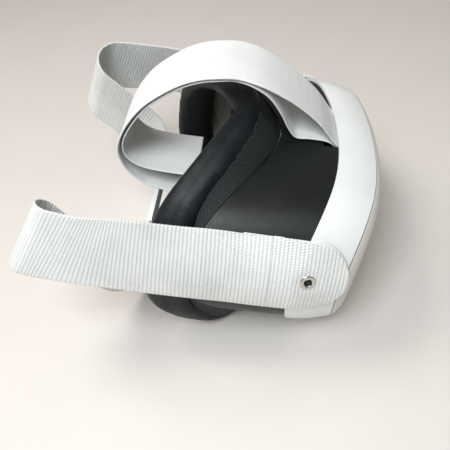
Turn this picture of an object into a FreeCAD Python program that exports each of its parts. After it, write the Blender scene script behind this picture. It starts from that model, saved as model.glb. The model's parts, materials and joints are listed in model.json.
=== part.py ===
import FreeCAD, Part
import math
import os

# A virtual reality headset lying on a table with its straps pushed forward.
# X runs across the face, the visor looks along -Y and +Z is up, all in mm.
# Everything is drawn with the visor level and then tipped to the pose it rests in.
# The origin is on the table, under the middle of the whole headset.

V = FreeCAD.Vector
X_AXIS = V(1, 0, 0)
Y_AXIS = V(0, 1, 0)
Z_AXIS = V(0, 0, 1)

# driving sizes
visor_width = 184.0
visor_height = 100.0
visor_corner = 44.4
shell_wall = 1.8
rest_pitch = 10.0        # nose-down tilt when the cheek pads touch the table
rolled_edge = 1.0        # how far the visor's rolled rear edge stands below its outline
footprint_middle = 36.5  # half-way from the visor's face to the folds of the straps
strap_width = 46.0
web = 1.3                # thickness of the webbing

half_width = visor_width / 2
wrap_power = 2.2         # how sharply the front wraps back at the sides
ring_points = 72         # points round every closed outline

# arms and pivot
pivot = V(0, -13.0, 70.0)
arm_gap = 2.6
arm_plate = 1.4
arm_radius = 20.6
arm_tip = V(0, -14.4, 68.4)      # centre of the arm's rounded front
arm_back = 24.0
arm_hollow = 2.0         # the arm dips in round its pivot
post_radius = 3.2
running_fit = 0.08
jack_radius = 1.8
jack_depth = 13.0

# optics
eye_spacing = 64.0
eye_height = 48.0
lens_travel = 3.0
barrel_radius = 21.0
barrel_front = -30.0
barrel_back = -4.0
plate_front = -14.0
plate_thick = 2.0

# top strap and its anchor
top_strap_width = 42.0
anchor_bar = V(8.5, -35.0, 91.0)
anchor_bar_radius = 2.0
anchor_half_width = 20.5


# ---------------------------------------------------------------- outlines

def wrap(x, front, sweep):
    """Depth of a curve that wraps back towards the sides of the face."""
    return front + sweep * (abs(x) / half_width) ** wrap_power


def rear_edge(x, z):
    return wrap(x, -30.0, 25.2)


def middle_edge(x, z):
    return wrap(x, -43.0, 23.7)


def seam_edge(x, z):
    return wrap(x, -52.6, 22.2)


def bulge_edge(x, z):
    return wrap(x, -55.8, 22.2)


def front_edge(x, z):
    return wrap(x, -57.2, 22.2)


def smooth_step(value, low, high):
    t = min(max((value - low) / (high - low), 0.0), 1.0)
    return t * t * (3 - 2 * t)


def rim_edge(x, z):
    """Back rim of the dark housing: swept back at the temples, forward at the cheeks."""
    brow = min(4.0 + 44.0 * (abs(x) / 80.0) ** 1.55, 50.0)
    cheek = 10.0 + 8.0 * (abs(x) / 76.0) ** 2
    return cheek + (brow - cheek) * smooth_step(z, 8.0, 45.0)


def pill_wire(inset):
    """Rounded rectangle in the XZ plane, starting at its top middle."""
    half = half_width - inset
    low = inset
    high = visor_height - inset
    r = visor_corner - inset
    centres = [(half - r, high - r, 90), (half - r, low + r, 0),
               (-half + r, low + r, -90), (-half + r, high - r, -180)]
    edges = []
    last = V(0, 0, high)
    for cx, cz, start in centres:
        corner = [V(cx + r * math.cos(math.radians(a)), 0, cz + r * math.sin(math.radians(a)))
                  for a in (start, start - 45, start - 90)]
        edges.append(Part.makeLine(last, corner[0]))
        edges.append(Part.Arc(*corner).toShape())
        last = corner[2]
    edges.append(Part.makeLine(last, V(0, 0, high)))
    return Part.Wire(edges)


def pill(inset, depth):
    """Evenly spaced points round the visor outline, set back by depth(x, z)."""
    points = pill_wire(inset).discretize(Number=ring_points + 1)[:-1]
    return [V(p.x, depth(p.x, p.z), p.z) for p in points]


# half of the line where the cushion's side meets the face: x, z, groove depth, back depth
face_stations = [
    (0, 115, 20, 35), (25, 113.5, 24.5, 44), (48, 107, 35, 56), (66, 95, 47, 68),
    (78, 77, 52, 76), (83.5, 55, 53.5, 79.5), (84.5, 32, 53.5, 80), (83, 13, 46, 75),
    (76, -3.6, 33, 60), (62, -10, 22, 47), (42, -7.6, 16, 41), (22, 6, 14, 38),
    (9, 16.5, 14, 37), (0, 19, 14, 36.5)]


def face_line(column):
    """Closed face outline, with column 2 (groove) or 3 (back) as its depth."""
    right = [V(s[0], s[column], s[1]) for s in face_stations]
    left = [V(-p.x, p.y, p.z) for p in reversed(right[1:-1])]
    curve = Part.BSplineCurve()
    curve.interpolate(Points=right + left, PeriodicFlag=True)
    return curve.discretize(Number=ring_points + 1)[:-1]


def face_ring(column, inset, back=0.0):
    """The face outline moved inward in the XZ plane by inset and back along Y."""
    line = face_line(column)
    ring = []
    for i, p in enumerate(line):
        ahead = line[(i + 1) % ring_points] - line[i - 1]
        inward = V(-ahead.z, 0, ahead.x) * -1
        inward.normalize()
        ring.append(p + inward * inset + V(0, back, 0))
    return ring


def closed_curve(points):
    curve = Part.BSplineCurve()
    curve.interpolate(Points=points, PeriodicFlag=True)
    return Part.Wire([curve.toShape()])


def ring_faces(groups):
    """Smooth faces through each group of loops; neighbouring groups share a loop."""
    faces = []
    for loops in groups:
        wires = [closed_curve(loop) for loop in loops]
        faces += Part.makeLoft(wires, False, len(wires) == 2).Faces
    return faces


def solid_from(faces):
    skin = Part.makeShell(faces)
    skin.sewShape()
    solid = Part.Solid(skin)
    if solid.Volume < 0:
        solid.reverse()
    return solid


def tube(groups):
    """A closed ring-shaped solid whose last group returns to the first loop."""
    return solid_from(ring_faces(groups))


def bowl(groups):
    """A dish whose first and last loops are closed with smooth caps."""
    caps = [Part.makeFilledFace(closed_curve(loop).Edges) for loop in (groups[0][0], groups[-1][-1])]
    return solid_from(ring_faces(groups) + caps)


# ---------------------------------------------------------------- simple solids

def box(centre, size):
    corner = centre - V(*size) * 0.5
    return Part.makeBox(size[0], size[1], size[2], corner)


def rod(start, direction, length, radius):
    return Part.makeCylinder(radius, length, start, direction)


def rounded_box(centre, size, radius, direction):
    """A box with the edges that run along direction rounded."""
    solid = box(centre, size)
    edges = [e for e in solid.Edges
             if abs(abs(e.tangentAt(e.FirstParameter).dot(direction)) - 1) < 1e-6]
    return solid.makeFillet(radius, edges)


def mirrored(shape):
    return shape.mirror(V(0, 0, 0), X_AXIS)


def ribbon(stations, thickness, straight=False):
    """A strap through stations of (centre, reach to one edge, bulge of the middle)."""
    wires = []
    for i, (centre, reach, bulge) in enumerate(stations):
        before = stations[max(i - 1, 0)][0]
        after = stations[min(i + 1, len(stations) - 1)][0]
        normal = reach.cross(after - before).normalize()
        rows = []
        for face in (0.5, -0.5):
            rows.append([centre + reach * k + normal * (face * thickness + bulge * (1 - k * k))
                         for k in (-1, 0, 1)])
        front, back = rows
        curves = []
        for points in (front, list(reversed(back))):
            curve = Part.BSplineCurve()
            curve.interpolate(Points=points)
            curves.append(curve.toShape())
        ends = [Part.makeLine(front[2], back[2]), Part.makeLine(back[0], front[0])]
        wires.append(Part.Wire([curves[0], ends[0], curves[1], ends[1]]))
    return Part.makeLoft(wires, True, straight)


# ---------------------------------------------------------------- visor case

def make_shell():
    outer = [pill(0.0, rear_edge), pill(1.3, middle_edge), pill(4.3, seam_edge)]
    w = shell_wall
    inner = [pill(4.3 + w, seam_edge), pill(1.3 + w, middle_edge), pill(w, rear_edge)]
    shell = tube([outer, [outer[-1], inner[0]], inner, [inner[-1], outer[0]]])
    shell = shell.cut(rounded_box(volume_centre, (20, 6, 12), 2.9, Z_AXIS))
    shell = shell.cut(rod(power_centre - V(0, 0, 6), Z_AXIS, 12, 4.5))
    for side in (-1, 1):
        shell = shell.cut(rounded_box(V(side * 66, -26, 6), (10, 1.8, 12), 0.85, Z_AXIS))
        shell = shell.cut(rod(V(side * 70, pivot.y, pivot.z), X_AXIS * side, 40, post_radius + 0.2))
    return shell


def shrunk(loop, scale, depth):
    """A loop scaled towards the middle of the visor's front."""
    mid = visor_height / 2
    return [V(p.x * scale, depth(p.x * scale, p.z), mid + (p.z - mid) * scale) for p in loop]


def make_front_cover():
    gap = 0.35
    w = shell_wall

    def at(edge, back=0.0):
        return lambda x, z: edge(x, z) - gap + back
    outer = [pill(4.3, at(seam_edge)), pill(8.2, at(bulge_edge)), pill(16.7, at(front_edge))]
    inner = [pill(4.3 + w, at(seam_edge)), pill(9.4, at(bulge_edge, w)), pill(17.2, at(front_edge, w))]
    for scale in (0.7, 0.4, 0.12):
        outer.append(shrunk(outer[2], scale, at(front_edge)))
        inner.append(shrunk(inner[2], scale, at(front_edge, w)))
    cover = bowl([list(reversed(outer)), [outer[0], inner[0]], inner])
    for x, z in window_places():
        cover = cover.cut(rod(V(x, -64, z), Y_AXIS, 20, window_radius + 0.1))
    return cover


window_radius = 5.0


def window_places():
    return [(side * x, z) for side in (-1, 1) for x, z in ((36, 72), (44, 26))]


def make_front_windows():
    panes = []
    for x, z in window_places():
        panes.append(rod(V(x, front_edge(x, z) + 0.3, z), Y_AXIS, 1.6, window_radius))
    return Part.makeCompound(panes)


def make_housing():
    def front(x, z):
        return rear_edge(x, z) + 0.3

    def tucked(x, z):
        return rear_edge(x, z) - 5.0

    def halfway(x, z):
        return 0.5 * (rear_edge(x, z) + rim_edge(x, z))
    w = 2.2
    outer = [pill(2.0, front), pill(2.0, halfway), pill(2.4, rim_edge)]
    inner = [pill(2.4 + w, rim_edge), pill(2.0 + w, halfway), pill(2.0 + w, tucked)]
    housing = tube([outer, [outer[-1], inner[0]], inner, [inner[-1], outer[0]]])
    slot = box(V(anchor_bar.x, -32, 95), (2 * anchor_half_width, 22, 12))
    housing = housing.cut(slot)
    housing = housing.cut(rod(V(-100, pivot.y, pivot.z), X_AXIS, 200, post_radius + 0.2))
    housing = housing.cut(rounded_box(usb_centre, (20, 9.4, 3.6), 1.7, X_AXIS))
    return housing


def make_anchor_bar():
    span = 2 * anchor_half_width + 2
    bar = rod(anchor_bar - V(span / 2, 0, 0), X_AXIS, span, anchor_bar_radius)
    middle = V(anchor_bar.x, -34, 91)
    cheeks = [box(middle + V(side * (anchor_half_width + 1.6), 0, 0), (3, 16, 9)) for side in (-1, 1)]
    floor = box(middle - V(0, 0, 5.5), (2 * anchor_half_width + 6.2, 16, 2))
    return bar.fuse(cheeks + [floor]).removeSplitter()


def make_lens_plate():
    outline = Part.Face(pill_wire(10.0))
    outline.translate(V(0, plate_front, 0))
    plate = outline.extrude(V(0, plate_thick, 0))
    for side in (-1, 1):
        centre = V(side * eye_spacing / 2, plate_front, eye_height)
        hole = 2 * (barrel_radius + 0.6)
        cut = rounded_box(centre, (hole + 2 * lens_travel, 30, hole), hole / 2 - 0.01, Y_AXIS)
        post_room = rod(V(side * 78, pivot.y, pivot.z), X_AXIS * side, 20, post_radius + 3.4)
        plate = plate.cut(cut).cut(post_room)
    for spot in screw_places():
        plate = plate.cut(rod(spot - V(0, 5, 0), Y_AXIS, 20, 1.6))
    plate = plate.cut(rod(V(0, plate_front - 5, wheel_height), Y_AXIS, 20, 2.1))
    return plate.cut(rod(V(0, plate_front - 5, 84), Y_AXIS, 20, 2.6))


def screw_places():
    return [V(x, plate_front, z) for x in (-66, 66) for z in (22, 78)]


def make_plate_screws():
    screws = []
    for spot in screw_places():
        shank = rod(spot - V(0, 6, 0), Y_AXIS, 6 + plate_thick, 1.5)
        head = rod(spot + V(0, plate_thick, 0), Y_AXIS, 1.2, 2.8)
        socket = box(spot + V(0, plate_thick + 1.0, 0), (3.4, 1.0, 0.8))
        screws.append(shank.fuse(head).cut(socket))
    return Part.makeCompound(screws)


# ---------------------------------------------------------------- optics and electronics

wheel_height = 15.0
wheel_radius = 8.0
rack_offset = 3.6


def make_lens_barrel(side):
    centre = V(side * eye_spacing / 2, barrel_front, eye_height)
    length = barrel_back - barrel_front
    barrel = rod(centre, Y_AXIS, length, barrel_radius)
    bore = rod(centre - V(0, 1, 0), Y_AXIS, length + 2, barrel_radius - 1.6)
    rack_height = wheel_height + side * rack_offset
    rack = box(V(side * 12.5, -19, rack_height), (37, 3, 2.4))
    top = eye_height - barrel_radius + 2.0
    hanger = box(V(side * 28, -19, (top + rack_height) / 2), (6, 3, top - rack_height))
    return barrel.fuse([hanger, rack]).cut(bore).removeSplitter()


def make_lens(side):
    """A thick lens with a domed face towards the eye."""
    centre = V(side * eye_spacing / 2, barrel_back - 9.0, eye_height)
    radius = barrel_radius - 1.62
    body = rod(centre, Y_AXIS, 8.0, radius)
    dome_radius = 48.0
    dome = Part.makeSphere(dome_radius, centre + V(0, 8.0 - dome_radius, 0))
    return body.common(dome)


def make_display(side):
    centre = V(side * eye_spacing / 2, barrel_front - 1.7, eye_height)
    return rounded_box(centre, (40, 3.0, 40), 3.0, Y_AXIS)


def make_ipd_wheel():
    """Thumb wheel between the lenses, with its pinion behind the lens plate."""
    front = V(0, plate_front, wheel_height)
    wheel = rod(front + V(0, plate_thick + 0.6, 0), Y_AXIS, 5.0, wheel_radius)
    for k in range(18):
        angle = 2 * math.pi * k / 18
        notch = V(wheel_radius * math.cos(angle), 0, wheel_radius * math.sin(angle))
        wheel = wheel.cut(rod(front + notch, Y_AXIS, 10, 0.7))
    stem = rod(front - V(0, 7, 0), Y_AXIS, 7 + plate_thick + 1, 2.0)
    return wheel.fuse(stem)


def make_proximity_sensor():
    return rod(V(0, plate_front - 3, 84), Y_AXIS, 3 + plate_thick, 2.5)


def make_chassis():
    return rounded_box(V(0, -36.5, 50), (132, 1.6, 62), 8.0, Y_AXIS)


def make_battery():
    return rounded_box(V(0, -40.6, 50), (86, 6.0, 46), 3.0, Y_AXIS)


def make_mainboard():
    board = rounded_box(V(0, -45.0, 50), (104, 1.4, 62), 3.0, Y_AXIS)
    chips = [box(V(x, -46.4, z), (w, 1.6, h))
             for x, z, w, h in ((-42, 62, 12, 14), (40, 40, 16, 12), (42, 66, 9, 9), (-44, 34, 8, 16))]
    return board.fuse(chips)


def make_heat_sink():
    base = rounded_box(V(0, -46.6, 50), (60, 1.2, 50), 2.0, Y_AXIS)
    fins = [box(V(x, -50.0, 50), (1.0, 5.8, 48)) for x in range(-28, 29, 4) if abs(x) > 14]
    return base.fuse(fins).cut(rod(V(0, -60, 50), Y_AXIS, 12.6, 13.4))


fan_centre = V(0, -52.8, 50)


def make_fan():
    hub = rod(fan_centre, Y_AXIS, 4.6, 4.0)
    blades = []
    for k in range(9):
        blade = box(fan_centre + V(7.8, 2.3, 0), (8.4, 3.6, 0.8))
        blade.rotate(fan_centre, Y_AXIS, 40 * k)
        blades.append(blade)
    return hub.fuse(blades)


def make_speaker(side):
    return rounded_box(V(side * 72, -1, 26), (8, 18, 10), 2.0, X_AXIS)


usb_centre = V(86, 14, 30)


def make_usb_port():
    body = rounded_box(V(82.4, usb_centre.y, usb_centre.z), (9.0, 8.9, 3.2), 1.5, X_AXIS)
    socket = rounded_box(V(84.4, usb_centre.y, usb_centre.z), (9.0, 8.3, 2.6), 1.25, X_AXIS)
    tongue = box(V(82.9, usb_centre.y, usb_centre.z), (7.0, 6.0, 0.7))
    return body.cut(socket).fuse(tongue)


volume_centre = V(-38, -38, 2.6)
power_centre = V(38, -38, 2.6)


def make_volume_rocker():
    cap = rounded_box(volume_centre, (19, 5, 3.0), 2.4, Z_AXIS)
    return cap.fuse(rod(volume_centre + V(0, -3.5, 1.9), Y_AXIS, 7, 1.0))


def make_power_button():
    cap = rod(power_centre - V(0, 0, 1.4), Z_AXIS, 3.2, 4.0)
    return cap.fuse(rod(power_centre + V(0, 0, 1.8), Z_AXIS, 0.9, 5.4))


# ---------------------------------------------------------------- face interface

def make_face_frame():
    """Light sleeve that carries the cushion and slides inside the housing."""
    def sleeve_front(x, z):
        return rim_edge(x, z) - 12.0

    def sleeve_back(x, z):
        return rim_edge(x, z) + 0.6
    w = 1.6
    outer = [pill(5.4, sleeve_front), pill(5.4, sleeve_back), face_ring(2, 5.0, -0.6)]
    inner = [face_ring(2, 5.0 + w, -0.6), pill(5.4 + w, sleeve_back), pill(5.4 + w, sleeve_front)]
    return tube([outer[:2], outer[1:], [outer[2], inner[0]], inner[:2], inner[1:],
                 [inner[2], outer[0]]])


def make_mesh_skirt():
    """Stretch fabric from the housing rim to the groove in front of the cushion."""
    def start(x, z):
        return rim_edge(x, z) + 0.9
    outer = [pill(3.4, start), face_ring(2, 2.0, -0.9)]
    inner = [face_ring(2, 3.3, -0.9), pill(4.7, start)]
    return tube([outer, [outer[1], inner[0]], inner, [inner[1], outer[0]]])


def make_face_cushion():
    def between(inset, part):
        near = face_ring(2, inset)
        far = face_ring(3, inset)
        return [a + (b - a) * part for a, b in zip(near, far)]
    side = [between(1.2, 0.0), between(-0.6, 0.3), between(0.0, 0.7), between(3.5, 0.95)]
    back = [side[-1], between(7.0, 1.0), between(10.5, 0.94)]
    inside = [back[-1], between(13.0, 0.6), between(12.0, 0.08)]
    return tube([side, back, inside, [inside[-1], side[0]]])


# ---------------------------------------------------------------- headband

def arm_sheet(low, high):
    """Slice of the space beside the visor between two outward offsets, on the -X side."""
    def behind(x, z):
        return 60.0

    def further_behind(x, z):
        return 62.0
    outer = [pill(4.3 - high, seam_edge), pill(-high, rear_edge), pill(-high, behind)]
    inner = [pill(-low, further_behind), pill(-low, rear_edge), pill(4.3 - low, seam_edge)]
    sheet = tube([outer[:2], outer[1:], [outer[2], inner[0]], inner[:2], inner[1:],
                  [inner[2], outer[0]]])
    radius = arm_radius
    disc = rod(arm_tip - V(130, 0, 0), X_AXIS, 90, radius)
    tail_length = arm_back - arm_tip.y
    tail = box(arm_tip + V(-85, tail_length / 2, 0), (90, tail_length, 2 * radius))
    blade = disc.fuse(tail).removeSplitter()
    blade.rotate(arm_tip, X_AXIS, 2.0)
    return sheet.common(blade)


def post_hole():
    return rod(V(-130, pivot.y, pivot.z), X_AXIS, 90, post_radius + running_fit)


def make_arm():
    return arm_sheet(arm_gap, arm_gap + arm_plate).cut(post_hole())


def make_arm_cover():
    """Webbing bonded over the outside of the arm, up to its rounded front."""
    cover = arm_sheet(arm_gap + arm_plate, arm_gap + arm_plate + web)
    return cover.cut(rod(V(-130, pivot.y, pivot.z), X_AXIS, 90, post_radius + 1.6))


def surface_half_width(z, offset):
    """Half width of the visor outline at a height, grown by an offset."""
    r = visor_corner + offset
    rise = z - (visor_height - visor_corner)
    return half_width - visor_corner + math.sqrt(r * r - rise * rise)


def make_pivot_post():
    outside = surface_half_width(pivot.z, arm_gap + arm_plate + web) - arm_hollow
    post = rod(V(-outside, pivot.y, pivot.z), X_AXIS, 15, post_radius)
    flange = rod(V(-outside + 11.5, pivot.y, pivot.z), X_AXIS, 2.5, post_radius + 3)
    bore = rod(V(-outside - 1, pivot.y, pivot.z), X_AXIS, jack_depth + 1, jack_radius)
    return post.fuse(flange).cut(bore)


def make_eyelet():
    outside = surface_half_width(pivot.z, arm_gap + arm_plate) - arm_hollow
    ring = rod(V(-outside - 1.6, pivot.y, pivot.z), X_AXIS, 1.6, post_radius + 1.4)
    lip = Part.makeTorus(post_radius + 1.0, 0.45, V(-outside - 1.6, pivot.y, pivot.z), X_AXIS)
    return ring.fuse(lip).cut(post_hole()).removeSplitter()


fold_axis = V(0.18, -0.46, 0.87).normalize()
fold_turn = 158.0        # degrees the side strap turns at its fold
joiner_height = 3.8
half_strap = strap_width / 2


def across(x, y, z):
    """Reach from the middle of the side strap to its upper edge."""
    return V(x, y, z).normalize() * half_strap


def strap_stations(fold_radius):
    """Right side strap from the arm, round its slanted fold, to the back of the head."""
    run = [(V(-88.4, 24.7, 71.8), across(0.33, 0, 0.95), 5.4),
           (V(-91.5, 55.0, 75.0), across(0.28, -0.05, 0.96), 3.0),
           (V(-92.3, 88.0, 78.0), across(0.26, -0.16, 0.95), 1.2)]
    heading = V(0.10, 1.0, 0.05).normalize()
    slide = fold_axis * heading.dot(fold_axis)
    forward = heading - slide
    reach = fold_axis * (half_strap / forward.Length)
    spoke = fold_axis.cross(forward).normalize() * fold_radius
    start = V(-90.5, 131.5, 79.2)
    run.append((start - heading * 14, reach, 0.2))
    steps = 9
    for k in range(steps + 1):
        angle = fold_turn * k / steps
        swing = FreeCAD.Rotation(fold_axis, -angle)
        drift = slide * (fold_radius * math.radians(angle) / forward.Length)
        run.append((start - spoke + swing.multVec(spoke) + drift, reach, 0.0))
    last = run[-1][0]
    leaving = slide + swing.multVec(forward)
    run.append((last + leaving * 20, reach, 0.0))
    run.append((last + leaving * 40, across(0.08, -0.66, 0.74), 0.0))
    run.append((V(-60.0, 96.0, 14.0), across(0.12, -0.50, 0.86), 0.0))
    run.append((V(-42.0, 88.5, 5.0), across(0.05, -0.15, 0.98), 0.0))
    run.append((V(-20.5, 88.0, joiner_height), across(0, 0, 1), 0.0))
    return run


def make_side_strap(fold_radius):
    return ribbon(strap_stations(fold_radius), web, straight=True)


def make_strap_joiner():
    return rounded_box(V(0, 88.0, joiner_height), (40, 3.4, strap_width), 3.0, Y_AXIS)


# side view of the top strap's outer layer: y, z, sideways shift
top_path = [(-38.4, 92, 6), (-37, 94.2, 6), (-34.2, 95.5, 6), (-29.8, 96.3, 6), (-25.0, 101.2, 6),
            (-16, 111.5, 6), (-3, 122, 6), (10, 130.5, 6), (21, 136, 6), (32, 139, 6),
            (42, 140, 4), (54, 138.5, 3), (66, 134, 2), (81, 124, 1), (90, 115, 0),
            (98, 102.5, 0), (102.5, 90, 0), (101.5, 80, 0), (97, 71, 0), (88, 63, 0),
            (75, 58.5, 0), (62, 55, 0), (54, 48, 0), (55, 38, 0), (66, 31, 0), (83, 27, 0)]

# the layer that comes back under it from the anchor bar
tongue_path = [(-39.2, 90.2, 6), (-37.8, 87.8, 6), (-35, 87.0, 6), (-32.0, 88.2, 6),
               (-30.8, 91.4, 6), (-29.4, 94.6, 6), (-26, 97.4, 6), (-21, 99.2, 6), (-12, 99.8, 6),
               (-4, 100.4, 6), (1.5, 107, 6), (7, 117, 6), (15, 128, 6), (25, 134.8, 6),
               (34, 137.2, 6), (42, 137.9, 4), (53.5, 136.4, 3), (65, 132, 2), (79.6, 122.3, 1),
               (88.2, 113.4, 0), (95.8, 101.6, 0), (99.4, 92, 0), (98, 83, 0), (90, 76.5, 0),
               (76, 73.5, 0), (54, 72, 0)]


def path_stations(path, width):
    """Stations 3.5 mm apart along a path; the strap narrows a little towards its anchor."""
    curve = Part.BSplineCurve()
    curve.interpolate(Points=[V(shift, y, z) for y, z, shift in path])
    stations = []
    for middle in curve.discretize(Number=int(curve.length() / 3.5)):
        tuck = 2.5 * (1 - smooth_step(middle.y, -12, 28))
        stations.append((middle + X_AXIS * tuck, X_AXIS * (width / 2 - tuck), 0.0))
    return stations


def make_top_strap():
    return ribbon(path_stations(top_path, top_strap_width), web, straight=True)


def make_top_tongue():
    return ribbon(path_stations(tongue_path, top_strap_width - 2), 1.0, straight=True)


# ---------------------------------------------------------------- assembly

def rest(shape):
    """Tip the level headset nose down about X and stand it on the table."""
    placed = shape.copy()
    placed.rotate(V(0, 0, 0), X_AXIS, rest_pitch)
    lift = rolled_edge - rear_edge(0, 0) * math.sin(math.radians(rest_pitch))
    placed.translate(V(0, -footprint_middle, lift))
    return placed


def build():
    arm = make_arm()
    cover = make_arm_cover()
    post = make_pivot_post()
    eyelet = make_eyelet().cut(arm)
    return {
        "front_cover": make_front_cover(),
        "front_windows": make_front_windows(),
        "shell": make_shell(),
        "housing": make_housing(),
        "strap_anchor": make_anchor_bar(),
        "lens_plate": make_lens_plate(),
        "plate_screws": make_plate_screws(),
        "proximity_sensor": make_proximity_sensor(),
        "lens_barrel_right": make_lens_barrel(-1),
        "lens_barrel_left": make_lens_barrel(1),
        "lens_right": make_lens(-1),
        "lens_left": make_lens(1),
        "display_right": make_display(-1),
        "display_left": make_display(1),
        "ipd_wheel": make_ipd_wheel(),
        "chassis": make_chassis(),
        "battery": make_battery(),
        "mainboard": make_mainboard(),
        "heat_sink": make_heat_sink(),
        "fan_rotor": make_fan(),
        "speaker_right": make_speaker(-1),
        "speaker_left": make_speaker(1),
        "usb_port": make_usb_port(),
        "volume_rocker": make_volume_rocker(),
        "power_button": make_power_button(),
        "face_frame": make_face_frame(),
        "mesh_skirt": make_mesh_skirt(),
        "face_cushion": make_face_cushion(),
        "pivot_post_right": post,
        "pivot_post_left": mirrored(post),
        "arm_right": arm,
        "arm_left": mirrored(arm),
        "arm_cover_right": cover,
        "arm_cover_left": mirrored(cover),
        "eyelet_right": eyelet,
        "eyelet_left": mirrored(eyelet),
        "side_strap_right": make_side_strap(8.5),
        "side_strap_left": mirrored(make_side_strap(11.0)),
        "strap_joiner": make_strap_joiner(),
        "top_strap": make_top_strap(),
        "top_strap_tongue": make_top_tongue(),
    }


os.makedirs("parts", exist_ok=True)
for node, shape in build().items():
    rest(shape).exportStep("parts/" + node + ".step")
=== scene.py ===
import json
import math

import bmesh
import bpy
from mathutils import Matrix, Quaternion, Vector


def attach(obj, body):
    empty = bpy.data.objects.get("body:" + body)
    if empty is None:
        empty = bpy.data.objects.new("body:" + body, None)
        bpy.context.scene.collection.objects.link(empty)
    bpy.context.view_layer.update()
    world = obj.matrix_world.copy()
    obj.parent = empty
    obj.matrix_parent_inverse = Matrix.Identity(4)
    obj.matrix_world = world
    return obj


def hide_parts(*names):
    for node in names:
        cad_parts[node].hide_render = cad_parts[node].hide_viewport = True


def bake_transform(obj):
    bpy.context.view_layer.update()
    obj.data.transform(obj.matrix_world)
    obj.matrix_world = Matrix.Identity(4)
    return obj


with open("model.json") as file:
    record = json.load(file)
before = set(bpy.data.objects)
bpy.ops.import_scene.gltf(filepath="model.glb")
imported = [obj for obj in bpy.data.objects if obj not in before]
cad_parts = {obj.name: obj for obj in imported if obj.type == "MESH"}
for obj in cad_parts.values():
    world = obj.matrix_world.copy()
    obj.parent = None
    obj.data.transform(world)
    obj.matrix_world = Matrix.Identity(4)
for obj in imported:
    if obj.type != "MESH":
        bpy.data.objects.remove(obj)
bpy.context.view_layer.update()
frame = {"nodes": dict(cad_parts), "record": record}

record = frame["record"]
nodes = frame["nodes"]
joints = {joint["name"]: joint for joint in record["behaviour"]["joints"]}

# The headset is described level, in mm, as it is worn; it rests nose down on the table.
# x runs to the wearer's left, y backwards from the face of the visor and z up.
MM = 0.001
ACROSS = Vector((1, 0, 0))
BACK = Vector(joints["face_depth"]["axis"]).normalized()
UP = ACROSS.cross(BACK)
PIVOT = Vector(joints["headband_tilt"]["pos_m"])
PIVOT_LEVEL = Vector((0, -13, 70))


def turned(v):
    """A direction given level, in the frame of the resting headset."""
    return ACROSS * v[0] + BACK * v[1] + UP * v[2]


def at(v):
    """A point given level in mm, in the frame of the resting headset, in metres."""
    return PIVOT + turned(Vector(v) - PIVOT_LEVEL) * MM


# ------------------------------------------------------------------ camera

LENS_RATIO = 480 / 450   # focal length over the width of the picture


def place_camera():
    data = bpy.data.cameras.new("camera")
    camera = bpy.data.objects.new("camera", data)
    bpy.context.scene.collection.objects.link(camera)
    data.sensor_width = 36
    data.lens = data.sensor_width * LENS_RATIO
    data.clip_start = 0.01
    sight = turned((0.6687, 0.0147, -0.7434)).normalized()
    right = sight.cross(turned((0.7399, 0.0861, 0.6672))).normalized()
    axes = Matrix((right, right.cross(sight), -sight)).transposed()
    camera.matrix_world = Matrix.Translation(at((-243.66, 29.62, 277.30))) @ axes.to_4x4()
    bpy.context.scene.camera = camera


# ------------------------------------------------------------------ materials

class Nodes:
    """Short names for building a node material."""

    def __init__(self, name, color, roughness, **settings):
        self.material = bpy.data.materials.new(name)
        self.material.use_nodes = True
        self.tree = self.material.node_tree
        self.shader = self.tree.nodes["Principled BSDF"]
        self.shader.inputs["Base Color"].default_value = (*color, 1)
        self.shader.inputs["Roughness"].default_value = roughness
        for socket, value in settings.items():
            self.shader.inputs[socket.replace("_", " ")].default_value = value

    def add(self, kind, settings=None, **sockets):
        node = self.tree.nodes.new("ShaderNode" + kind)
        for key, value in (settings or {}).items():
            setattr(node, key, value)
        for key, value in sockets.items():
            socket = node.inputs[int(key[1:]) if key[1:].isdigit() else key.replace("_", " ")]
            if isinstance(value, bpy.types.NodeSocket):
                self.tree.links.new(value, socket)
            else:
                socket.default_value = value
        return node

    def link(self, value, socket):
        self.tree.links.new(value, self.shader.inputs[socket])

    def position(self):
        return self.add("TexCoord").outputs["Object"]

    def uv(self):
        return self.add("UVMap", {"uv_map": "cloth"}).outputs["UV"]

    def noise(self, vector, size_mm, detail=3):
        noise = self.add("TexNoise", Vector=vector, Scale=1000 / size_mm, Detail=detail)
        return noise.outputs["Fac"]

    def calculate(self, operation, a, b):
        return self.add("Math", {"operation": operation}, _0=a, _1=b).outputs[0]

    def ramp(self, value, low, high, start, end):
        """Value from start..end turned into low..high."""
        ramp = self.add("MapRange", Value=value, From_Min=start, From_Max=end,
                        To_Min=low, To_Max=high)
        return ramp.outputs["Result"]

    def mix(self, factor, first, second):
        mix = self.add("Mix", {"data_type": "RGBA"}, Factor=factor)
        for socket, color in ((mix.inputs[6], first), (mix.inputs[7], second)):
            socket.default_value = (*color, 1)
        return mix.outputs[2]

    def bump(self, height, distance_mm, strength=1.0, under=None):
        bump = self.add("Bump", Height=height, Distance=distance_mm * MM, Strength=strength)
        if under:
            self.tree.links.new(under, bump.inputs["Normal"])
        return bump.outputs["Normal"]


def plastic(name, color, roughness, grain_mm=0.35, grain=0.02, tint=0.06, **settings):
    """Moulded plastic: fine spark-eroded grain, faint mottling and uneven handling gloss."""
    m = Nodes(name, color, roughness, **settings)
    place = m.position()
    fine = m.noise(place, grain_mm, 2)
    broad = m.noise(place, 22, 3)
    darker = [c * (1 - tint) for c in color]
    m.link(m.mix(m.ramp(broad, 0, 1, 0.35, 0.65), color, darker), "Base Color")
    smudge = m.ramp(m.noise(place, 9, 4), roughness * 0.88, min(roughness * 1.12, 1), 0.3, 0.7)
    m.link(smudge, "Roughness")
    m.link(m.bump(fine, grain), "Normal")
    return m.material


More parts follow.
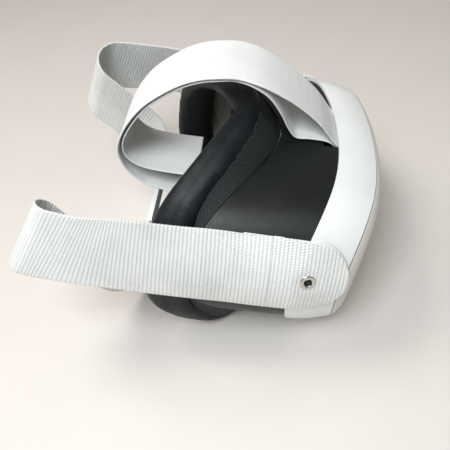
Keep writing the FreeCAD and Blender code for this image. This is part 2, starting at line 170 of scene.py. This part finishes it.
def metal(name, color, roughness, **settings):
    """Turned or stamped metal with fine scratches."""
    m = Nodes(name, color, roughness, Metallic=1.0, **settings)
    place = m.position()
    stretched = m.add("Mapping", Vector=place, Scale=(1, 14, 1)).outputs["Vector"]
    scratches = m.noise(stretched, 1.5, 5)
    m.link(m.ramp(scratches, roughness * 0.75, roughness * 1.3, 0.3, 0.7), "Roughness")
    m.link(m.mix(m.noise(place, 6), color, [c * 0.85 for c in color]), "Base Color")
    m.link(m.bump(scratches, 0.01), "Normal")
    return m.material


def wave(m, value, pitch):
    """Sine of a length in metres, one turn every pitch mm, as 0 to 1."""
    turns = m.calculate("MULTIPLY", value, math.tau / (pitch * MM))
    return m.ramp(m.calculate("SINE", turns, 0.0), 0, 1, -1, 1)


def webbing_material(name, color, shade, column_mm, stitch_mm, depth_mm, sheen):
    """Woven webbing: columns across its length, parted by dotted lines of slanted stitches."""
    m = Nodes(name, color, 0.82, Sheen_Weight=sheen, Sheen_Roughness=0.5)
    split = m.add("SeparateXYZ", Vector=m.uv())
    along, over = split.outputs["X"], split.outputs["Y"]
    wander = m.ramp(m.noise(m.uv(), 3.5), -0.12 * MM, 0.12 * MM, 0.3, 0.7)
    along = m.calculate("ADD", along, wander)
    column = wave(m, along, column_mm)
    slant = m.calculate("MULTIPLY", m.calculate("PINGPONG", along, column_mm * MM), 0.45)
    stitch = wave(m, m.calculate("ADD", over, slant), stitch_mm)
    gap = m.calculate("POWER", m.calculate("SUBTRACT", 1.0, column), 2.2)
    hole = m.calculate("MULTIPLY", gap, m.ramp(stitch, 0.0, 1.0, 0.15, 0.9))
    fluff = m.noise(m.position(), 0.35, 4)
    yarn = m.calculate("SUBTRACT", m.calculate("MULTIPLY", stitch, 0.5), hole)
    height = m.calculate("ADD", yarn, m.calculate("MULTIPLY", fluff, 0.25))
    soil = m.ramp(m.noise(m.position(), 30, 3), 0, 0.25, 0.45, 0.75)
    tone = m.calculate("ADD", m.calculate("MULTIPLY", hole, 0.6), soil)
    m.link(m.mix(tone, color, shade), "Base Color")
    m.link(m.bump(height, depth_mm), "Normal")
    return m.material


def mesh_material():
    """Black warp-knit mesh: a diagonal lattice of yarn with dark holes."""
    m = Nodes("mesh_fabric", (0.02, 0.024, 0.028), 0.75, Specular_IOR_Level=0.3)
    split = m.add("SeparateXYZ", Vector=m.uv())
    along, over = split.outputs["X"], split.outputs["Y"]
    rising = wave(m, m.calculate("ADD", along, m.calculate("MULTIPLY", over, 0.62)), 1.15)
    falling = wave(m, m.calculate("SUBTRACT", along, m.calculate("MULTIPLY", over, 1.5)), 1.9)
    thick = m.calculate("POWER", rising, 1.5)
    yarn = m.calculate("MAXIMUM", thick, m.calculate("MULTIPLY", falling, 0.7))
    fluff = m.noise(m.position(), 0.3, 3)
    height = m.calculate("ADD", yarn, m.calculate("MULTIPLY", fluff, 0.2))
    m.link(m.mix(m.ramp(yarn, 0, 1, 0.5, 1.0), (0.002, 0.003, 0.003), (0.075, 0.09, 0.095)),
           "Base Color")
    m.link(m.bump(height, 0.35), "Normal")
    return m.material


def skin_material():
    """Soft coated foam: silky black skin with pores and shallow creases."""
    m = Nodes("cushion_skin", (0.006, 0.008, 0.010), 0.48, Specular_IOR_Level=0.28)
    place = m.position()
    pores = m.noise(place, 0.45, 3)
    creases = m.noise(place, 14, 5)
    # the crease hollows are painted a little darker than their crowns: painted shade
    color = m.mix(m.ramp(creases, 0, 1, 0.35, 0.7), (0.004, 0.006, 0.008), (0.009, 0.012, 0.014))
    m.link(color, "Base Color")
    m.link(m.ramp(creases, 0.42, 0.58, 0.3, 0.7), "Roughness")
    soft = m.bump(creases, 0.5, 0.5)
    m.link(m.bump(pores, 0.03, 1.0, soft), "Normal")
    return m.material


def glass_material():
    m = Nodes("lens_glass", (0.92, 0.95, 0.96), 0.04, IOR=1.49, Transmission_Weight=1.0)
    rings = m.add("TexWave", {"wave_type": "RINGS", "rings_direction": "Y"},
                  Vector=m.position(), Scale=900.0)
    m.link(m.bump(rings.outputs["Fac"], 0.004), "Normal")
    m.link(m.ramp(m.noise(m.position(), 8, 3), 0.02, 0.07, 0.3, 0.7), "Roughness")
    return m.material


def board_material():
    m = Nodes("board", (0.01, 0.09, 0.045), 0.35)
    cells = m.add("TexVoronoi", {"feature": "DISTANCE_TO_EDGE"}, Vector=m.position(), Scale=320.0)
    trace = m.ramp(cells.outputs["Distance"], 1, 0, 0.02, 0.06)
    m.link(m.mix(trace, (0.008, 0.075, 0.035), (0.05, 0.2, 0.1)), "Base Color")
    m.link(m.bump(trace, 0.05), "Normal")
    return m.material


def make_materials():
    return {
        "white_case": plastic("white_case", (0.77, 0.80, 0.79), 0.36, 0.5, 0.012, 0.03,
                              Coat_Weight=0.12, Coat_Roughness=0.25),
        # the front cover is a greyer, warmer white than the case: partly its own light grey, partly
        # painted shade and painted warm bounce from the table
        "front_plastic": plastic("front_plastic", (0.66, 0.655, 0.62), 0.42, 0.5, 0.012, 0.03),
        "window_glass": plastic("window_glass", (0.012, 0.012, 0.015), 0.12, 2.0, 0.003, 0.2,
                                Coat_Weight=0.5),
        "charcoal_case": plastic("charcoal_case", (0.009, 0.011, 0.012), 0.42, 0.42, 0.045, 0.2,
                                 Specular_IOR_Level=0.32),
        "inner_grey": plastic("inner_grey", (0.36, 0.37, 0.34), 0.55, 0.5, 0.03),
        "black_plastic": plastic("black_plastic", (0.012, 0.012, 0.013), 0.5, 0.4, 0.03, 0.2),
        "battery_wrap": plastic("battery_wrap", (0.05, 0.06, 0.08), 0.3, 3.0, 0.05, 0.2),
        "steel": metal("steel", (0.55, 0.55, 0.56), 0.3),
        "aluminium_fins": metal("aluminium_fins", (0.7, 0.7, 0.72), 0.35),
        "eyelet_metal": metal("eyelet_metal", (0.62, 0.62, 0.58), 0.24),
        "lens_glass": glass_material(),
        "board": board_material(),
        "mesh_fabric": mesh_material(),
        "cushion_skin": skin_material(),
        "white_webbing": webbing_material("white_webbing", (0.80, 0.825, 0.815), (0.38, 0.41, 0.40),
                                          2.1, 1.15, 0.45, 0.15),
        "white_strap": webbing_material("white_strap", (0.80, 0.82, 0.81), (0.55, 0.58, 0.58),
                                        0.8, 0.8, 0.07, 0.15),
    }


def dress_frame(materials):
    """Every CAD node gets the material of its slot."""
    for part in record["subparts"]:
        piece = nodes[part["node"]]
        piece.data.materials.clear()
        piece.data.materials.append(materials[part["material_slot"]])


# ------------------------------------------------------------------ geometry helpers

def smoothed(points, count):
    """Catmull-Rom curve through tuples of numbers, evenly divided."""
    values = [Vector(p) for p in points]
    ends = [values[0] * 2 - values[1]] + values + [values[-1] * 2 - values[-2]]
    out = []
    spans = len(values) - 1
    for i in range(count + 1):
        t = min(i / count * spans, spans - 1e-9)
        k = int(t)
        t -= k
        a, b, c, d = ends[k:k + 4]
        out.append(((b * 2) + (c - a) * t + (a * 2 - b * 5 + c * 4 - d) * t ** 2
                    + (b * 3 - a - c * 3 + d) * t ** 3) * 0.5)
    return out


def even(stations, step):
    """Stations (centre, reach, bulge) smoothed and spaced step mm apart along the centre.

    Reach is the vector from the centre to the strap's edge, bulge how far the middle stands
    out. Each row returned also holds its length along the strap."""
    flat = [(*c, *r, b) for c, r, b in stations]
    fine = smoothed(flat, 60 * (len(flat) - 1))
    length = [0.0]
    for a, b in zip(fine, fine[1:]):
        length.append(length[-1] + (Vector(b[:3]) - Vector(a[:3])).length)
    rows = max(int(length[-1] / step), 2)
    out = []
    k = 0
    for i in range(rows + 1):
        goal = length[-1] * i / rows
        while k < len(length) - 2 and length[k + 1] < goal:
            k += 1
        t = (goal - length[k]) / max(length[k + 1] - length[k], 1e-9)
        row = fine[k].lerp(fine[k + 1], t)
        out.append((Vector(row[:3]), Vector(row[3:6]), row[6], goal))
    return out


def smooth_step(value, low, high):
    t = min(max((value - low) / (high - low), 0.0), 1.0)
    return t * t * (3 - 2 * t)


def mesh_object(name, verts, faces, uvs=None):
    mesh = bpy.data.meshes.new(name)
    mesh.from_pydata([tuple(v) for v in verts], [], faces)
    if uvs:
        layer = mesh.uv_layers.new(name="cloth")
        for loop in mesh.loops:
            layer.data[loop.index].uv = uvs[loop.vertex_index]
    mesh.validate()
    mesh.update()
    for face in mesh.polygons:
        face.use_smooth = True
    piece = bpy.data.objects.new(name, mesh)
    bpy.context.scene.collection.objects.link(piece)
    return piece


def grid_faces(rows, columns, closed_rows=False, closed_columns=False):
    faces = []
    for i in range(rows if closed_rows else rows - 1):
        for j in range(columns if closed_columns else columns - 1):
            a, b = i, (i + 1) % rows
            c, d = j, (j + 1) % columns
            faces.append((a * columns + c, b * columns + c, b * columns + d, a * columns + d))
    return faces


# shares of a strap's half width, closer together at its rounded edges
ACROSS_STEPS = [-1, -0.992, -0.975, -0.95, -0.91] + [k / 12 for k in range(-10, 11)]
ACROSS_STEPS += [0.91, 0.95, 0.975, 0.992, 1]


def cloth_band(name, middles, normals, lengths, widths, web, ribs):
    """A closed strap from rows of middle points, with rounded woven edges.

    middles[i][j] is on the strap's middle surface; ribs = (pitch, depth) in mm adds
    raised ribs across the strap and a knobbly edge."""
    rounding = web * 0.75
    knob = 0.1
    knobbly = 0.96
    pitch, depth = ribs
    rows = len(middles)
    columns = len(middles[0])
    verts, uvs = [], []
    for side in (1, -1):
        for i in range(rows):
            for j in range(columns):
                k = ACROSS_STEPS[j]
                from_edge = min((1 - abs(k)) * widths[i], lengths[i] - lengths[0],
                                lengths[-1] - lengths[i])
                curve = math.sqrt(max(1 - (1 - min(from_edge / rounding, 1)) ** 2, 0.0))
                swell = math.cos(math.tau * lengths[i] / pitch)
                thick = (web / 2 + depth * swell) * curve
                push = Vector((0, 0, 0))
                if abs(k) > knobbly:
                    outward = (middles[i][j] - middles[i][columns // 2]).normalized()
                    push = outward * (knob * swell * smooth_step(abs(k), 0.95, 1))
                verts.append(at(middles[i][j] + normals[i][j] * (thick * side) + push))
                uvs.append((lengths[i] * MM, k * widths[i] * MM))
    sheet = grid_faces(rows, columns)
    other = rows * columns
    faces = list(sheet) + [tuple(other + v for v in reversed(face)) for face in sheet]
    piece = mesh_object(name, verts, faces, uvs)
    weld(piece, 0.02)
    return piece


def weld(piece, distance_mm):
    bm = bmesh.new()
    bm.from_mesh(piece.data)
    bmesh.ops.remove_doubles(bm, verts=bm.verts, dist=distance_mm * MM)
    bmesh.ops.recalc_face_normals(bm, faces=bm.faces)
    bm.to_mesh(piece.data)
    bm.free()


def band_points(rows):
    """Middle surface of a strap from even() rows."""
    points = []
    for i, (centre, reach, bulge, _) in enumerate(rows):
        before = rows[max(i - 1, 0)][0]
        after = rows[min(i + 1, len(rows) - 1)][0]
        normal = reach.cross(after - before).normalized()
        points.append([centre + reach * k + normal * (bulge * (1 - k * k)) for k in ACROSS_STEPS])
    return points


def surface_normals(points):
    normals = []
    last_row = len(points) - 1
    last = len(points[0]) - 1
    for i, row in enumerate(points):
        line = []
        for j in range(len(row)):
            run = points[min(i + 1, last_row)][j] - points[max(i - 1, 0)][j]
            over = row[min(j + 1, last)] - row[max(j - 1, 0)]
            line.append(over.cross(run).normalized())
        normals.append(line)
    return normals


def replace(piece, body, material, slot, *old):
    """Puts a finished piece on its body, in the place of CAD nodes."""
    piece.data.materials.append(material)
    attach(piece, body)
    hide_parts(*old)


# ------------------------------------------------------------------ headband

HALF_WIDTH, HEIGHT, CORNER = 92.0, 100.0, 44.4
WEB = 1.3
STRAP_HALF = 23.0
ARM_OFFSET = 4.65        # middle of the webbing over the arm, outside the visor's outline
ARM_TIP = Vector((0, -14.4, 68.4))
ARM_RADIUS = 20.6
FOLD_TURN = math.radians(163)
EYELET_HOLE = 3.4        # radius of the hole in the webbing
JOINED = 8.0             # where the webbing on the arm passes into the strap
ARM_STEP = 0.5
STRAP_STEP = 0.52
RIBS = (2.1, 0.02)       # pitch and depth of the woven ribs


def outline_half_width(z, offset):
    r = CORNER + offset
    rise = z - (HEIGHT - CORNER)
    return HALF_WIDTH - CORNER + math.sqrt(max(r * r - rise * rise, 1.0))


def side_surface(y, z):
    """The webbing's middle surface over the arm, on the right side.

    It closes in with the visor's shell, forward of the shell's rear edge."""
    beside = (outline_half_width(z, 0) / HALF_WIDTH) ** 2.2
    rear = -30 + 25.2 * beside
    seam = -52.6 + 22.2 * beside
    forward = min(max((rear - y) / (rear - seam), 0), 1.4)
    return Vector((-outline_half_width(z, ARM_OFFSET - 4.3 * forward), y, z))


def across(x, y, z):
    return Vector((x, y, z)).normalized() * STRAP_HALF


def strap_stations(fold_radius, slant):
    """The side strap from the arm, round its slanted fold, to the joiner."""
    axis = Vector((0.18, -slant, 0.87)).normalized()
    run = [(Vector((-88.4, 5, 69.8)), across(0.36, 0, 0.93), 6.4),
           (Vector((-88.6, 24.7, 71.4)), across(0.33, 0, 0.95), 5.2),
           (Vector((-91.0, 55, 74.6)), across(0.28, -0.05, 0.96), 3.2),
           (Vector((-92.3, 88, 77.8)), across(0.26, -0.16, 0.95), 1.2)]
    heading = Vector((0.10, 1.0, 0.05)).normalized()
    slide = axis * heading.dot(axis)
    forward = heading - slide
    reach = axis * (STRAP_HALF / forward.length)
    spoke = axis.cross(forward).normalized() * fold_radius
    start = Vector((-90.5, 131.5, 79.2))
    run.append((start - heading * 14, reach, 0.2))
    steps = 9
    for k in range(steps + 1):
        angle = FOLD_TURN * k / steps
        swing = Quaternion(axis, -angle)
        drift = slide * (fold_radius * angle / forward.length)
        run.append((start - spoke + swing @ spoke + drift, reach, 0.0))
    last = run[-1][0]
    leaving = slide + swing @ forward
    run.append((last + leaving * 18, reach, 0.0))
    run.append((Vector((-67, 106, 34)), across(0.10, -0.56, 0.80), 0.0))
    run.append((Vector((-58, 96, 16)), across(0.12, -0.46, 0.88), 0.0))
    run.append((Vector((-42, 88.5, 5)), across(0.05, -0.15, 0.98), 0.0))
    run.append((Vector((-19, 88, 3.8)), across(0, 0, 1), 0.0))
    return run


def over_arm(point):
    """Eases a point of the strap onto the arm as it runs forward."""
    on_arm = side_surface(point.y, min(max(point.z, 46), 91))
    return on_arm.lerp(point, smooth_step(point.y, 6, 46))


def arm_rows(first_y):
    """Rows of the webbing from the arm's round tip back to first_y, closest at the tip."""
    tip = ARM_TIP.y - ARM_RADIUS
    count = int((first_y - tip) / ARM_STEP)
    rows = []
    for i in range(count):
        y = tip + 0.02 + (first_y - tip) * (i / count) ** 1.25
        ahead = min(y - ARM_TIP.y, 0)
        half = math.sqrt(max(ARM_RADIUS ** 2 - ahead ** 2, 0.01))
        rows.append((y, half))
    return rows


def arm_points(first_row):
    """Middle surface and half widths of the webbing on the arm, up to the strap's first row."""
    tip_top = ARM_TIP.z + ARM_RADIUS
    tip_low = ARM_TIP.z - ARM_RADIUS
    points, widths = [], []
    for y, half in arm_rows(JOINED):
        rise = smooth_step(y, -20, JOINED)
        top = tip_top + (first_row[-1].z - tip_top) * rise
        low = tip_low + (first_row[0].z - tip_low) * rise
        half_here = half * (top - low) / (2 * ARM_RADIUS)
        centre = (top + low) / 2
        points.append([side_surface(y, centre + k * half_here) for k in ACROSS_STEPS])
        widths.append(half_here)
    return points, widths


def make_side_strap(hand, fold_radius, slant, side, material):
    """One webbing strap: over the arm to its round tip, back, round the fold, to the joiner."""
    stations = strap_stations(fold_radius, slant)
    behind = band_points([row for row in even(stations, STRAP_STEP) if row[0].y > JOINED])
    points, widths = arm_points(behind[0])
    first_behind = len(points)
    lengths = [row[0].y for row in points]
    points += [[over_arm(point) for point in row] for row in behind]
    widths += [STRAP_HALF] * len(behind)
    for a, b in zip(points[first_behind - 1:], points[first_behind:]):
        lengths.append(lengths[-1] + (b[len(b) // 2] - a[len(a) // 2]).length)
    dish(points)
    piece = cloth_band("side_webbing_" + hand, points, surface_normals(points), lengths, widths,
                       WEB, RIBS)
    punch(piece, EYELET_HOLE)
    if side > 0:
        flip(piece)
    replace(piece, "headband", material, "white_webbing",
            "side_strap_" + hand, "arm_cover_" + hand)


def eyelet_plane():
    """Centre of the eyelet on the webbing's middle surface, and its outward direction."""
    y, z = PIVOT_LEVEL.y, PIVOT_LEVEL.z
    run = side_surface(y + 4, z) - side_surface(y - 4, z)
    rise = side_surface(y, z + 4) - side_surface(y, z - 4)
    return side_surface(y, z), rise.cross(run).normalized()


def dish(points):
    """Presses the webbing flat and a little inward round the eyelet."""
    sunk = 0.6
    flat_radius, edge_radius = 5.4, 10.5
    centre, outward = eyelet_plane()
    for row in points:
        for j, point in enumerate(row):
            away = point - centre
            reach = math.hypot(away.y, away.z)
            if reach < edge_radius:
                flat = centre.x - (outward.y * away.y + outward.z * away.z) / outward.x + sunk
                keep = smooth_step(reach, flat_radius, edge_radius)
                row[j] = Vector((flat + (point.x - flat) * keep, point.y, point.z))


def punch(piece, radius):
    """Opens the round hole for the eyelet in a right-hand piece."""
    bm = bmesh.new()
    bm.from_mesh(piece.data)
    gone = []
    for face in bm.faces:
        away = face.calc_center_median() - PIVOT
        if math.hypot(away.dot(BACK), away.dot(UP)) < radius * MM and away.x < -0.06:
            gone.append(face)
    bmesh.ops.delete(bm, geom=gone, context="FACES")
    bm.to_mesh(piece.data)
    bm.free()


def flip(piece):
    """Mirrors a right-hand piece to the left."""
    bm = bmesh.new()
    bm.from_mesh(piece.data)
    for vert in bm.verts:
        vert.co.x = -vert.co.x
    bmesh.ops.reverse_faces(bm, faces=bm.faces)
    bm.to_mesh(piece.data)
    bm.free()


def lathe(name, side, outward, profile):
    """A turned piece round the pivot: profile is (radius, height outward) in mm."""
    turns = 64
    centre = eyelet_plane()[0]
    level = outward.cross(Vector((0, 0, 1))).normalized()
    over = level.cross(outward)
    verts = []
    for i in range(turns):
        angle = math.tau * i / turns
        spoke = level * math.cos(angle) + over * math.sin(angle)
        for radius, height in profile:
            point = centre + spoke * radius + outward * height
            verts.append(at((point.x * -side, point.y, point.z)))
    piece = mesh_object(name, verts, grid_faces(turns, len(profile), closed_rows=True))
    weld(piece, 0.001)
    return piece


def make_eyelet(hand, side, materials):
    """A rolled metal ring set into the webbing, and the socket it turns on."""
    ring = lathe("ring_" + hand, side, eyelet_plane()[1],
                 [(2.25, -1.4), (2.25, 0.1), (2.45, 0.32), (3.0, 0.42), (3.7, 0.5), (4.25, 0.46),
                  (4.6, 0.2), (4.65, -1.0)])
    replace(ring, "headband", materials["eyelet_metal"], "eyelet_metal", "eyelet_" + hand)
    socket = lathe("socket_" + hand, side, Vector((-1, 0, 0)),
                   [(0.01, -13), (1.8, -13), (1.8, -1.1), (2.0, -0.9), (2.9, -0.9), (3.15, -1.1),
                    (3.15, -10.5), (5.0, -10.8), (5.0, -12.8), (3.2, -12.8), (3.2, -15), (0.01, -15)])
    replace(socket, "visor", materials["black_plastic"], "black_plastic", "pivot_post_" + hand)


FINE_RIBS = (0.9, 0.04)

# side view of the top strap's outer layer: y, z, sideways shift
TOP_PATH = [(-38.4, 92, 6), (-37, 94.2, 6), (-34.2, 95.5, 6), (-29.8, 96.3, 6), (-25, 101.2, 6),
            (-16, 111.5, 6), (-3, 122, 6), (10, 130.5, 6), (21, 136, 6), (32, 139, 6),
            (42, 140, 4), (54, 138.5, 3), (66, 134, 2), (81, 124, 1), (90, 115, 0),
            (98, 102.5, 0), (102.5, 90, 0), (101.5, 80, 0), (97, 71, 0), (88, 63, 0),
            (75, 58.5, 0), (62, 55, 0), (54, 48, 0), (55, 38, 0), (66, 31, 0), (83, 27, 0)]

# the layer that comes back under it from the anchor bar
TONGUE_PATH = [(-39.2, 90.2, 6), (-37.8, 87.8, 6), (-35, 87.0, 6), (-32, 88.2, 6),
               (-30.8, 91.4, 6), (-29.4, 94.6, 6), (-26, 97.4, 6), (-21, 99.2, 6), (-12, 99.8, 6),
               (-4, 100.4, 6), (1.5, 107, 6), (7, 117, 6), (15, 128, 6), (25, 134.8, 6),
               (34, 137.2, 6), (42, 137.9, 4), (53.5, 136.4, 3), (65, 132, 2), (79.6, 122.3, 1),
               (88.2, 113.4, 0), (95.8, 101.6, 0), (99.4, 92, 0), (98, 83, 0), (90, 76.5, 0),
               (76, 73.5, 0), (54, 72, 0)]


def make_top_band(name, path, half, thickness, node, material):
    """One layer of the top strap, narrower where it is tucked into the visor."""
    stations = []
    for y, z, shift in path:
        tuck = 2.5 * (1 - smooth_step(y, -12, 28))
        stations.append((Vector((shift + tuck, y, z)), ACROSS * (half - tuck), 0.0))
    rows = even(stations, 0.45)
    points = band_points(rows)
    lengths = [row[3] for row in rows]
    widths = [row[1].length for row in rows]
    piece = cloth_band(name, points, surface_normals(points), lengths, widths, thickness,
                       FINE_RIBS)
    piece.data.materials.append(material)
    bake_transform(piece)
    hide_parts(node)


# ------------------------------------------------------------------ face cushion and skirt

# half of the line where the cushion's side meets the face: x, z, groove depth, back depth
FACE_STATIONS = [
    (0, 115, 20, 35), (25, 113.5, 24.5, 44), (48, 107, 35, 56), (66, 95, 47, 68),
    (78, 77, 52, 76), (83.5, 55, 53.5, 79.5), (84.5, 32, 53.5, 80), (83, 13, 46, 75),
    (76, -3.6, 33, 60), (62, -10, 22, 47), (42, -7.6, 16, 41), (22, 6, 14, 38),
    (9, 16.5, 14, 37), (0, 19, 14, 36.5)]
RING = 288


def face_loop():
    """The closed face outline: points with groove and back depths, evenly spaced."""
    between = 40
    left = [(-x, z, groove, back) for x, z, groove, back in reversed(FACE_STATIONS[1:-1])]
    loop = FACE_STATIONS + left
    wrapped = loop[-2:] + loop + loop[:3]
    fine = smoothed(wrapped, between * (len(wrapped) - 1))
    fine = fine[2 * between:(2 + len(loop)) * between + 1]
    length = [0.0]
    for a, b in zip(fine, fine[1:]):
        length.append(length[-1] + (Vector(b[:2]) - Vector(a[:2])).length)
    out = []
    k = 0
    for i in range(RING):
        goal = length[-1] * i / RING
        while length[k + 1] < goal:
            k += 1
        t = (goal - length[k]) / (length[k + 1] - length[k])
        out.append(fine[k].lerp(fine[k + 1], t))
    return out


def loop_inward(loop):
    """Unit vectors in the face plane, pointing into the outline."""
    out = []
    for i in range(RING):
        run = Vector(loop[(i + 1) % RING][:2]) - Vector(loop[i - 1][:2])
        run.normalize()
        out.append(Vector((run.y, 0, -run.x)))
    return out


def face_point(loop, inward, i, inset, depth):
    """A point inset from the face outline, depth 0 at the groove and 1 at the back."""
    x, z, groove, back = loop[i]
    return Vector((x, groove + (back - groove) * depth, z)) + inward[i] * inset


def make_cushion(material):
    """The foam cushion: a crowned ring with a rolled back edge and a shallow outer crease.

    Its section's points are (inset from the outline, share of the way from groove to back)."""
    loop = face_loop()
    inward = loop_inward(loop)
    profile = [(11.4, 0.0), (6.5, -0.08), (2.0, -0.07), (-0.6, 0.04), (-1.5, 0.24), (-1.3, 0.42),
               (-1.1, 0.56), (-0.7, 0.72), (0.8, 0.88), (3.6, 0.98), (7.2, 1.02), (10.6, 0.97),
               (12.8, 0.84), (13.4, 0.6), (13.2, 0.3)]
    verts = []
    for i in range(RING):
        for inset, depth in profile:
            verts.append(at(face_point(loop, inward, i, inset, depth)))
    piece = mesh_object("cushion", verts,
                        grid_faces(RING, len(profile), closed_rows=True, closed_columns=True))
    weld(piece, 0.001)
    puff(piece, 2.5 * MM)
    crease(piece, loop, inward)
    replace(piece, "face_interface", material, "cushion_skin", "face_cushion")


def puff(piece, most):
    """Swells a closed form as a pressurised cloth skin, moving no point further than most."""
    scene = bpy.context.scene
    bpy.context.view_layer.objects.active = piece
    remesh = piece.modifiers.new("even", "REMESH")
    remesh.mode = "VOXEL"
    remesh.voxel_size = 3 * MM
    bpy.ops.object.modifier_apply(modifier=remesh.name)
    before = [v.co.copy() for v in piece.data.vertices]
    cloth = piece.modifiers.new("skin", "CLOTH")
    cloth.settings.use_pressure = True
    cloth.settings.uniform_pressure_force = 4
    cloth.settings.effector_weights.gravity = 0
    cloth.settings.tension_stiffness = 25
    cloth.settings.compression_stiffness = 25
    for number in range(1, 17):
        scene.frame_set(number)
    bpy.ops.object.modifier_apply(modifier=cloth.name)
    scene.frame_set(1)
    for vert, start in zip(piece.data.vertices, before):
        move = vert.co - start
        if move.length > most:
            vert.co = start + move * (most / move.length)
    smooth = piece.modifiers.new("soft", "LAPLACIANSMOOTH")
    smooth.iterations = 2
    smooth.lambda_factor = 0.6
    bpy.ops.object.modifier_apply(modifier=smooth.name)
    subdivide = piece.modifiers.new("fine", "SUBSURF")
    subdivide.levels = 1
    bpy.ops.object.modifier_apply(modifier=subdivide.name)
    for face in piece.data.polygons:
        face.use_smooth = True


def crease(piece, loop, inward):
    """The moulded parting line round the outer side of the foam."""
    deep, wide, reach = 0.6 * MM, 1.1 * MM, 3.5 * MM
    skip = 4
    line = [at(face_point(loop, inward, i, -1.2, 0.44)) for i in range(RING)]
    for vert in piece.data.vertices:
        near = min(range(0, RING, skip), key=lambda i: (line[i] - vert.co).length_squared)
        best = min((line[(near + k) % RING] - vert.co).length for k in range(-skip, skip + 1))
        if best < reach:
            pull = deep * math.exp(-(best / wide) ** 2)
            vert.co += turned(inward[near]) * pull


def pill_point(share, inset):
    """The point at a share of the way round the visor's outline, from the top middle."""
    half = HALF_WIDTH - inset
    low, high = inset, HEIGHT - inset
    r = CORNER - inset
    flat = half - r
    side = high - low - 2 * r
    quarter = math.pi * r / 2
    spans = [flat, quarter, side, quarter, 2 * flat, quarter, side, quarter, flat]
    goal = sum(spans) * share
    x, z, heading = 0.0, high, 0.0
    for k, span in enumerate(spans):
        run = min(goal, span)
        if k % 2 == 0:
            x += math.cos(heading) * run
            z += math.sin(heading) * run
        else:
            turn = run / r
            cx = x + r * math.sin(heading)
            cz = z - r * math.cos(heading)
            heading -= turn
            x = cx - r * math.sin(heading)
            z = cz + r * math.cos(heading)
        goal -= run
        if goal <= 1e-9:
            break
    return x, z


def rim_depth(x, z):
    """How far back the dark housing's rim lies: far at the temples, little at brow and nose."""
    brow = min(4.0 + 44.0 * (abs(x) / 80.0) ** 1.55, 50.0)
    cheek = 10.0 + 8.0 * (abs(x) / 76.0) ** 2
    return cheek + (brow - cheek) * smooth_step(z, 8.0, 45.0)


def make_skirt(material):
    """Stretch mesh from the housing's rim to the groove in front of the cushion."""
    loop = face_loop()
    inward = loop_inward(loop)
    steps = 14
    fullness = 0.33
    outer = []
    for i in range(RING):
        x, z = pill_point(i / RING, 3.4)
        rim = Vector((x, rim_depth(x, z) + 0.9, z))
        groove = face_point(loop, inward, i, 2.0, -0.03)
        row = []
        for k in range(steps + 1):
            t = k / steps
            point = rim.lerp(groove, t)
            swell = fullness * math.sin(math.pi * t) * min((groove - rim).length / 20, 1)
            row.append(point + Vector((point.x, 0, point.z - HEIGHT / 2)).normalized() * swell)
        outer.append(row)
    thickness = 0.9
    verts, uvs = [], []
    around = 0.0
    for i in range(RING):
        if i:
            around += (outer[i][steps // 2] - outer[i - 1][steps // 2]).length
        for k in range(steps + 1):
            verts.append(at(outer[i][k]))
            uvs.append((around * MM, (outer[i][k] - outer[i][0]).length * MM))
        for k in range(steps, -1, -1):
            verts.append(at(outer[i][k] + inward[i] * thickness))
            uvs.append((around * MM, (outer[i][k] - outer[i][0]).length * MM))
    columns = 2 * (steps + 1)
    piece = mesh_object("mesh_gaiter", verts,
                        grid_faces(RING, columns, closed_rows=True, closed_columns=True), uvs)
    weld(piece, 0.001)
    replace(piece, "face_interface", material, "mesh_fabric", "mesh_skirt")


# ------------------------------------------------------------------ studio

def make_floor():
    size = 12.0
    corners = [(-size, -size, 0), (size, -size, 0), (size, size, 0), (-size, size, 0)]
    floor = mesh_object("floor", corners, [(0, 1, 2, 3)])
    m = Nodes("table", (0.72, 0.69, 0.66), 0.55)
    mottled = m.noise(m.position(), 60, 4)
    m.link(m.mix(mottled, (0.70, 0.665, 0.63), (0.66, 0.63, 0.60)), "Base Color")
    m.link(m.bump(m.noise(m.position(), 0.8, 2), 0.02), "Normal")
    floor.data.materials.append(m.material)


def add_area(name, place, target, size, power, color):
    data = bpy.data.lights.new(name, "AREA")
    data.shape = "RECTANGLE"
    data.size, data.size_y = size
    data.energy = power
    data.color = color
    light = bpy.data.objects.new(name, data)
    bpy.context.scene.collection.objects.link(light)
    light.location = place
    light.rotation_euler = (Vector(target) - Vector(place)).to_track_quat("-Z", "Y").to_euler()


def light_studio():
    world = bpy.data.worlds.new("room")
    world.use_nodes = True
    background = world.node_tree.nodes["Background"]
    background.inputs["Color"].default_value = (1.0, 0.92, 0.84, 1)
    background.inputs["Strength"].default_value = 0.26
    bpy.context.scene.world = world
    add_area("window", (-0.55, 0.10, 0.95), (-0.35, 0.0, 0.0), (0.5, 0.5), 10.5, (0.93, 0.97, 1.0))
    add_area("ceiling", (0.1, 0.55, 1.1), (0, 0, 0), (0.5, 0.5), 6.5, (1.0, 0.95, 0.90))
    bpy.context.scene.view_settings.view_transform = "Standard"


# ------------------------------------------------------------------ scene

place_camera()
materials = make_materials()
dress_frame(materials)
# each strap's side, the radius of its fold and how far the fold leans
for side, hand, radius, slant in ((-1, "right", 10.5, 0.46), (1, "left", 13.0, 0.33)):
    make_side_strap(hand, radius, slant, side, materials["white_webbing"])
    make_eyelet(hand, side, materials)
make_top_band("top_band", TOP_PATH, 21.0, WEB, "top_strap", materials["white_strap"])
make_top_band("top_band_under", TONGUE_PATH, 20.0, 1.0, "top_strap_tongue", materials["white_strap"])
make_skirt(materials["mesh_fabric"])
make_cushion(materials["cushion_skin"])
make_floor()
light_studio()
